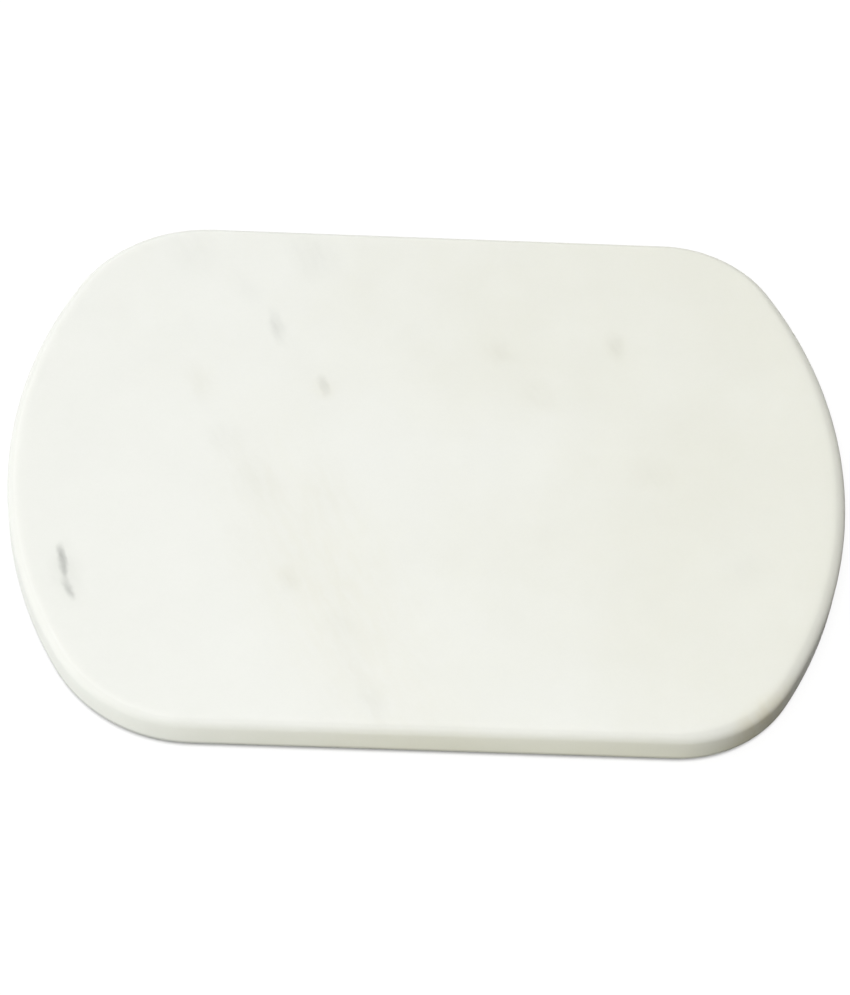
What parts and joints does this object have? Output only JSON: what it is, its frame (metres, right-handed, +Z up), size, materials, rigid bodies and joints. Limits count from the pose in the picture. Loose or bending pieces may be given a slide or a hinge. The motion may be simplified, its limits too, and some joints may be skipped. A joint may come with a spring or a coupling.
{
  "type": "marble chopping board",
  "caption": "Flat marble chopping board with straight long sides, bulged ends, rounded corners and eased edges, raised on stick-on rubber feet.",
  "frame": {"origin": "on the table, under the middle of the board's outline", "axes": "+X along the board's length, towards the end with the tighter corners; +Y across the board, from front to rear; +Z up, out of the work surface"},
  "size_m": [0.356, 0.254, 0.0186],
  "materials": {
    "marble": "white marble, polished on top, honed on the rim and sawn underneath",
    "rubber": "dark grey moulded rubber, matt",
    "adhesive": "off-white double-sided foam adhesive, die cut"
  },
  "bodies": {
    "root": {"marble_slab": "marble", "front_left_foot": "rubber", "front_left_adhesive_disc": "adhesive", "rear_left_foot": "rubber", "rear_left_adhesive_disc": "adhesive", "front_right_foot": "rubber", "front_right_adhesive_disc": "adhesive", "rear_right_foot": "rubber", "rear_right_adhesive_disc": "adhesive"}
  },
  "joints": []
}
